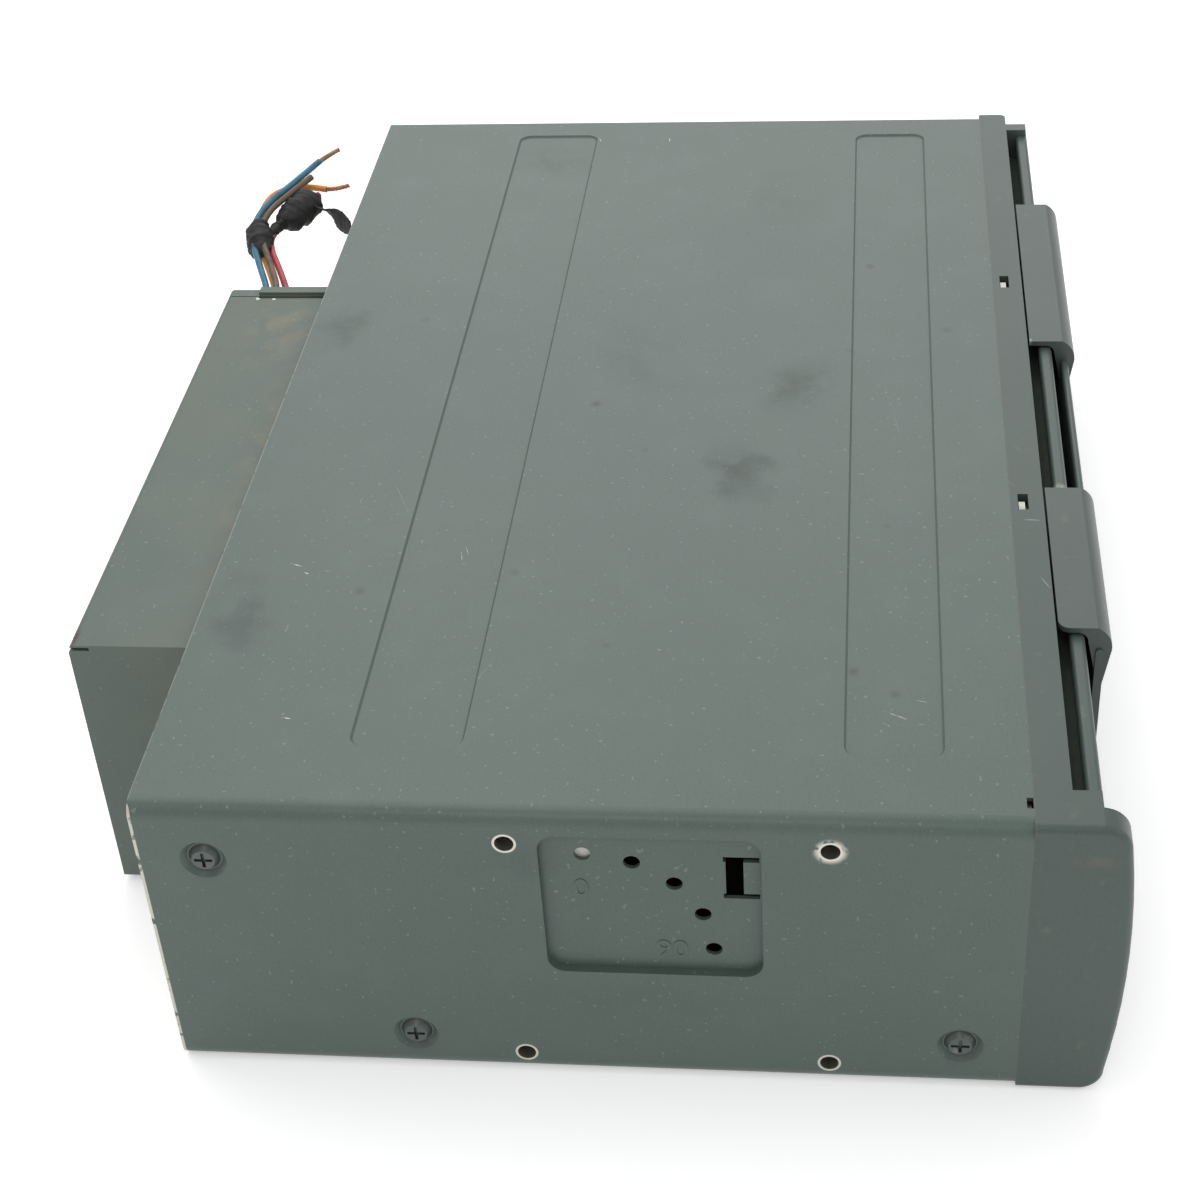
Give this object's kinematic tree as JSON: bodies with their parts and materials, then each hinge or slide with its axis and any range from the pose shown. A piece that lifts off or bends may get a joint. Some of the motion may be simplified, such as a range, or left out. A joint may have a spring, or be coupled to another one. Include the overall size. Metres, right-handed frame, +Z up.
{
  "type": "car compact disc changer",
  "caption": "Flat steel changer case with side mounting holes, a hinged front door on a rail, a box and cut leads at the back, and a disc magazine, lift and drive inside.",
  "frame": {"origin": "middle of the underside of the metal case, on the surface it stands on", "axes": "+X along the width to the right-hand side plate, front and door towards -Y, +Z up"},
  "size_m": [0.2652, 0.1965, 0.0623],
  "materials": {
    "case_paint": "fine satin powder coat",
    "front_plastic": "fine moulded grain",
    "zinc_steel": "zinc plated",
    "black_screw": "black passivated",
    "bright_steel": "bright",
    "aluminium": "satin",
    "black_plastic": "moulded",
    "grey_plastic": "moulded",
    "white_plastic": "moulded acetal",
    "rubber": "matt",
    "board": "solder resist",
    "chip": "moulded",
    "brass": "machined",
    "lens": "polished",
    "blue_wire": "soft PVC",
    "brown_wire": "soft PVC",
    "red_wire": "soft PVC",
    "orange_wire": "soft PVC",
    "tape": "cloth tape"
  },
  "bodies": {
    "case": {"top_cover": "case_paint", "base_chassis": "zinc_steel", "cover_screws": "black_screw", "lever_brackets": "zinc_steel", "lever_rivets": "bright_steel", "front_fascia": "front_plastic", "button_switch": "black_plastic", "rear_box_cover": "case_paint", "rear_box_base": "case_paint", "box_screws": "black_screw", "box_board": "board", "board_spacers": "white_plastic", "box_parts": "chip", "link_connector": "black_plastic", "wire_grommet": "rubber", "tape_wrap": "tape", "wire_blue": "blue_wire", "wire_brown": "brown_wire", "wire_red": "red_wire", "wire_orange": "orange_wire", "magazine_guide": "zinc_steel", "deck_chassis": "zinc_steel", "deck_dampers": "rubber", "damper_pins": "bright_steel", "guide_posts": "bright_steel", "top_bridge": "zinc_steel", "lift_motor": "aluminium", "main_board": "board", "board_posts": "white_plastic", "board_chips": "chip"},
    "door": {"door_flap": "front_plastic"},
    "eject_key": {"eject_button": "front_plastic"},
    "left_lever": {"angle_lever_left": "white_plastic"},
    "right_lever": {"angle_lever_right": "white_plastic"},
    "magazine": {"magazine_shell": "black_plastic", "tray_2": "grey_plastic", "tray_3": "grey_plastic", "tray_4": "grey_plastic", "tray_5": "grey_plastic", "tray_6": "grey_plastic"},
    "play_tray": {"tray_1": "grey_plastic"},
    "pusher": {"eject_pusher": "white_plastic"},
    "puller": {"tray_puller": "white_plastic"},
    "lift": {"lift_carriage": "zinc_steel"},
    "lift_spindle": {"lift_screw": "bright_steel"},
    "idler": {"lift_idler": "white_plastic"},
    "motor_pinion": {"lift_pinion": "brass"},
    "traverse": {"traverse_plate": "zinc_steel", "traverse_bushes": "rubber", "slide_rods": "bright_steel", "sled_motor": "aluminium", "spindle_motor": "aluminium"},
    "platter": {"turntable": "black_plastic", "turntable_pad": "rubber"},
    "sled": {"optical_pickup": "black_plastic", "pickup_lens": "lens"},
    "feed": {"feed_screw": "bright_steel"},
    "clamp": {"clamp_arm": "zinc_steel"},
    "puck": {"clamp_puck": "black_plastic"}
  },
  "joints": [
    {"name": "door_hinge", "type": "hinge", "parent": "case", "child": "door", "pos_m": [0.00175, -0.0857, 0.0592], "axis": [1, 0, 0], "range_deg": [-95, 0]},
    {"name": "magazine_slide", "type": "slide", "parent": "case", "child": "magazine", "axis": [0, 1, 0], "range_m": [-0.02, 0]},
    {"name": "pusher_slide", "type": "slide", "parent": "case", "child": "pusher", "axis": [0, 1, 0], "range_m": [-0.0201, 0]},
    {"name": "eject_press", "type": "slide", "parent": "case", "child": "eject_key", "axis": [0, 1, 0], "range_m": [0, 0.0026], "stiffness_N_per_m": 300, "springref_m": -0.002},
    {"name": "left_lever_turn", "type": "hinge", "parent": "case", "child": "left_lever", "pos_m": [-0.1284, -0.0012, 0.031], "axis": [1, 0, 0], "range_deg": [0, 90]},
    {"name": "right_lever_turn", "type": "hinge", "parent": "case", "child": "right_lever", "pos_m": [0.1284, -0.0012, 0.031], "axis": [1, 0, 0], "range_deg": [0, 90]},
    {"name": "tray_slide", "type": "slide", "parent": "magazine", "child": "play_tray", "axis": [1, 0, 0], "range_m": [0, 0.0765]},
    {"name": "puller_slide", "type": "slide", "parent": "lift", "child": "puller", "axis": [1, 0, 0], "range_m": [0, 0.0765]},
    {"name": "lift_slide", "type": "slide", "parent": "case", "child": "lift", "axis": [0, 0, -1], "range_m": [-0.026, 0]},
    {"name": "lift_screw_turn", "type": "hinge", "parent": "case", "child": "lift_spindle", "pos_m": [0.117, 0.0696, 0.03], "axis": [0, 0, 1], "range_deg": [-2340.1, 0]},
    {"name": "idler_turn", "type": "hinge", "parent": "case", "child": "idler", "pos_m": [0.10762, 0.05989, 0.004], "axis": [0, 0, 1], "range_deg": [0, 819.1]},
    {"name": "lift_motor_turn", "type": "hinge", "parent": "case", "child": "motor_pinion", "pos_m": [0.09412, 0.05989, 0.004], "axis": [0, 0, 1], "range_deg": [-2340.1, 0]},
    {"name": "traverse_rise", "type": "slide", "parent": "lift", "child": "traverse", "axis": [0, 0, 1], "range_m": [0, 0.0028]},
    {"name": "platter_spin", "type": "hinge", "parent": "traverse", "child": "platter", "pos_m": [0.0635, 0, 0.0175], "axis": [0, 0, 1], "continuous": true},
    {"name": "sled_slide", "type": "slide", "parent": "traverse", "child": "sled", "axis": [0, -1, 0], "range_m": [0, 0.033]},
    {"name": "feed_turn", "type": "hinge", "parent": "traverse", "child": "feed", "pos_m": [0.0952, -0.03, 0.0139], "axis": [0, 1, 0], "range_deg": [0, 3960.1]},
    {"name": "clamp_swing", "type": "hinge", "parent": "lift", "child": "clamp", "pos_m": [0.0635, 0.0623, 0.0308], "axis": [1, 0, 0], "range_deg": [0, 3], "stiffness_Nm_per_rad": 0.05, "springref_deg": -20.05},
    {"name": "puck_spin", "type": "hinge", "parent": "clamp", "child": "puck", "pos_m": [0.0635, 0, 0.028], "axis": [0, 0, 1], "continuous": true}
  ],
  "couplings": [
    {"joint": "door_hinge", "follows": "magazine_slide", "rad_per_m": 82.903},
    {"joint": "pusher_slide", "follows": "magazine_slide", "ratio": 1},
    {"joint": "puller_slide", "follows": "tray_slide", "ratio": 1},
    {"joint": "lift_screw_turn", "follows": "lift_slide", "rad_per_m": 1570.8},
    {"joint": "idler_turn", "follows": "lift_slide", "rad_per_m": -549.78},
    {"joint": "lift_motor_turn", "follows": "lift_slide", "rad_per_m": 1570.8},
    {"joint": "feed_turn", "follows": "sled_slide", "rad_per_m": 2094.4}
  ]
}
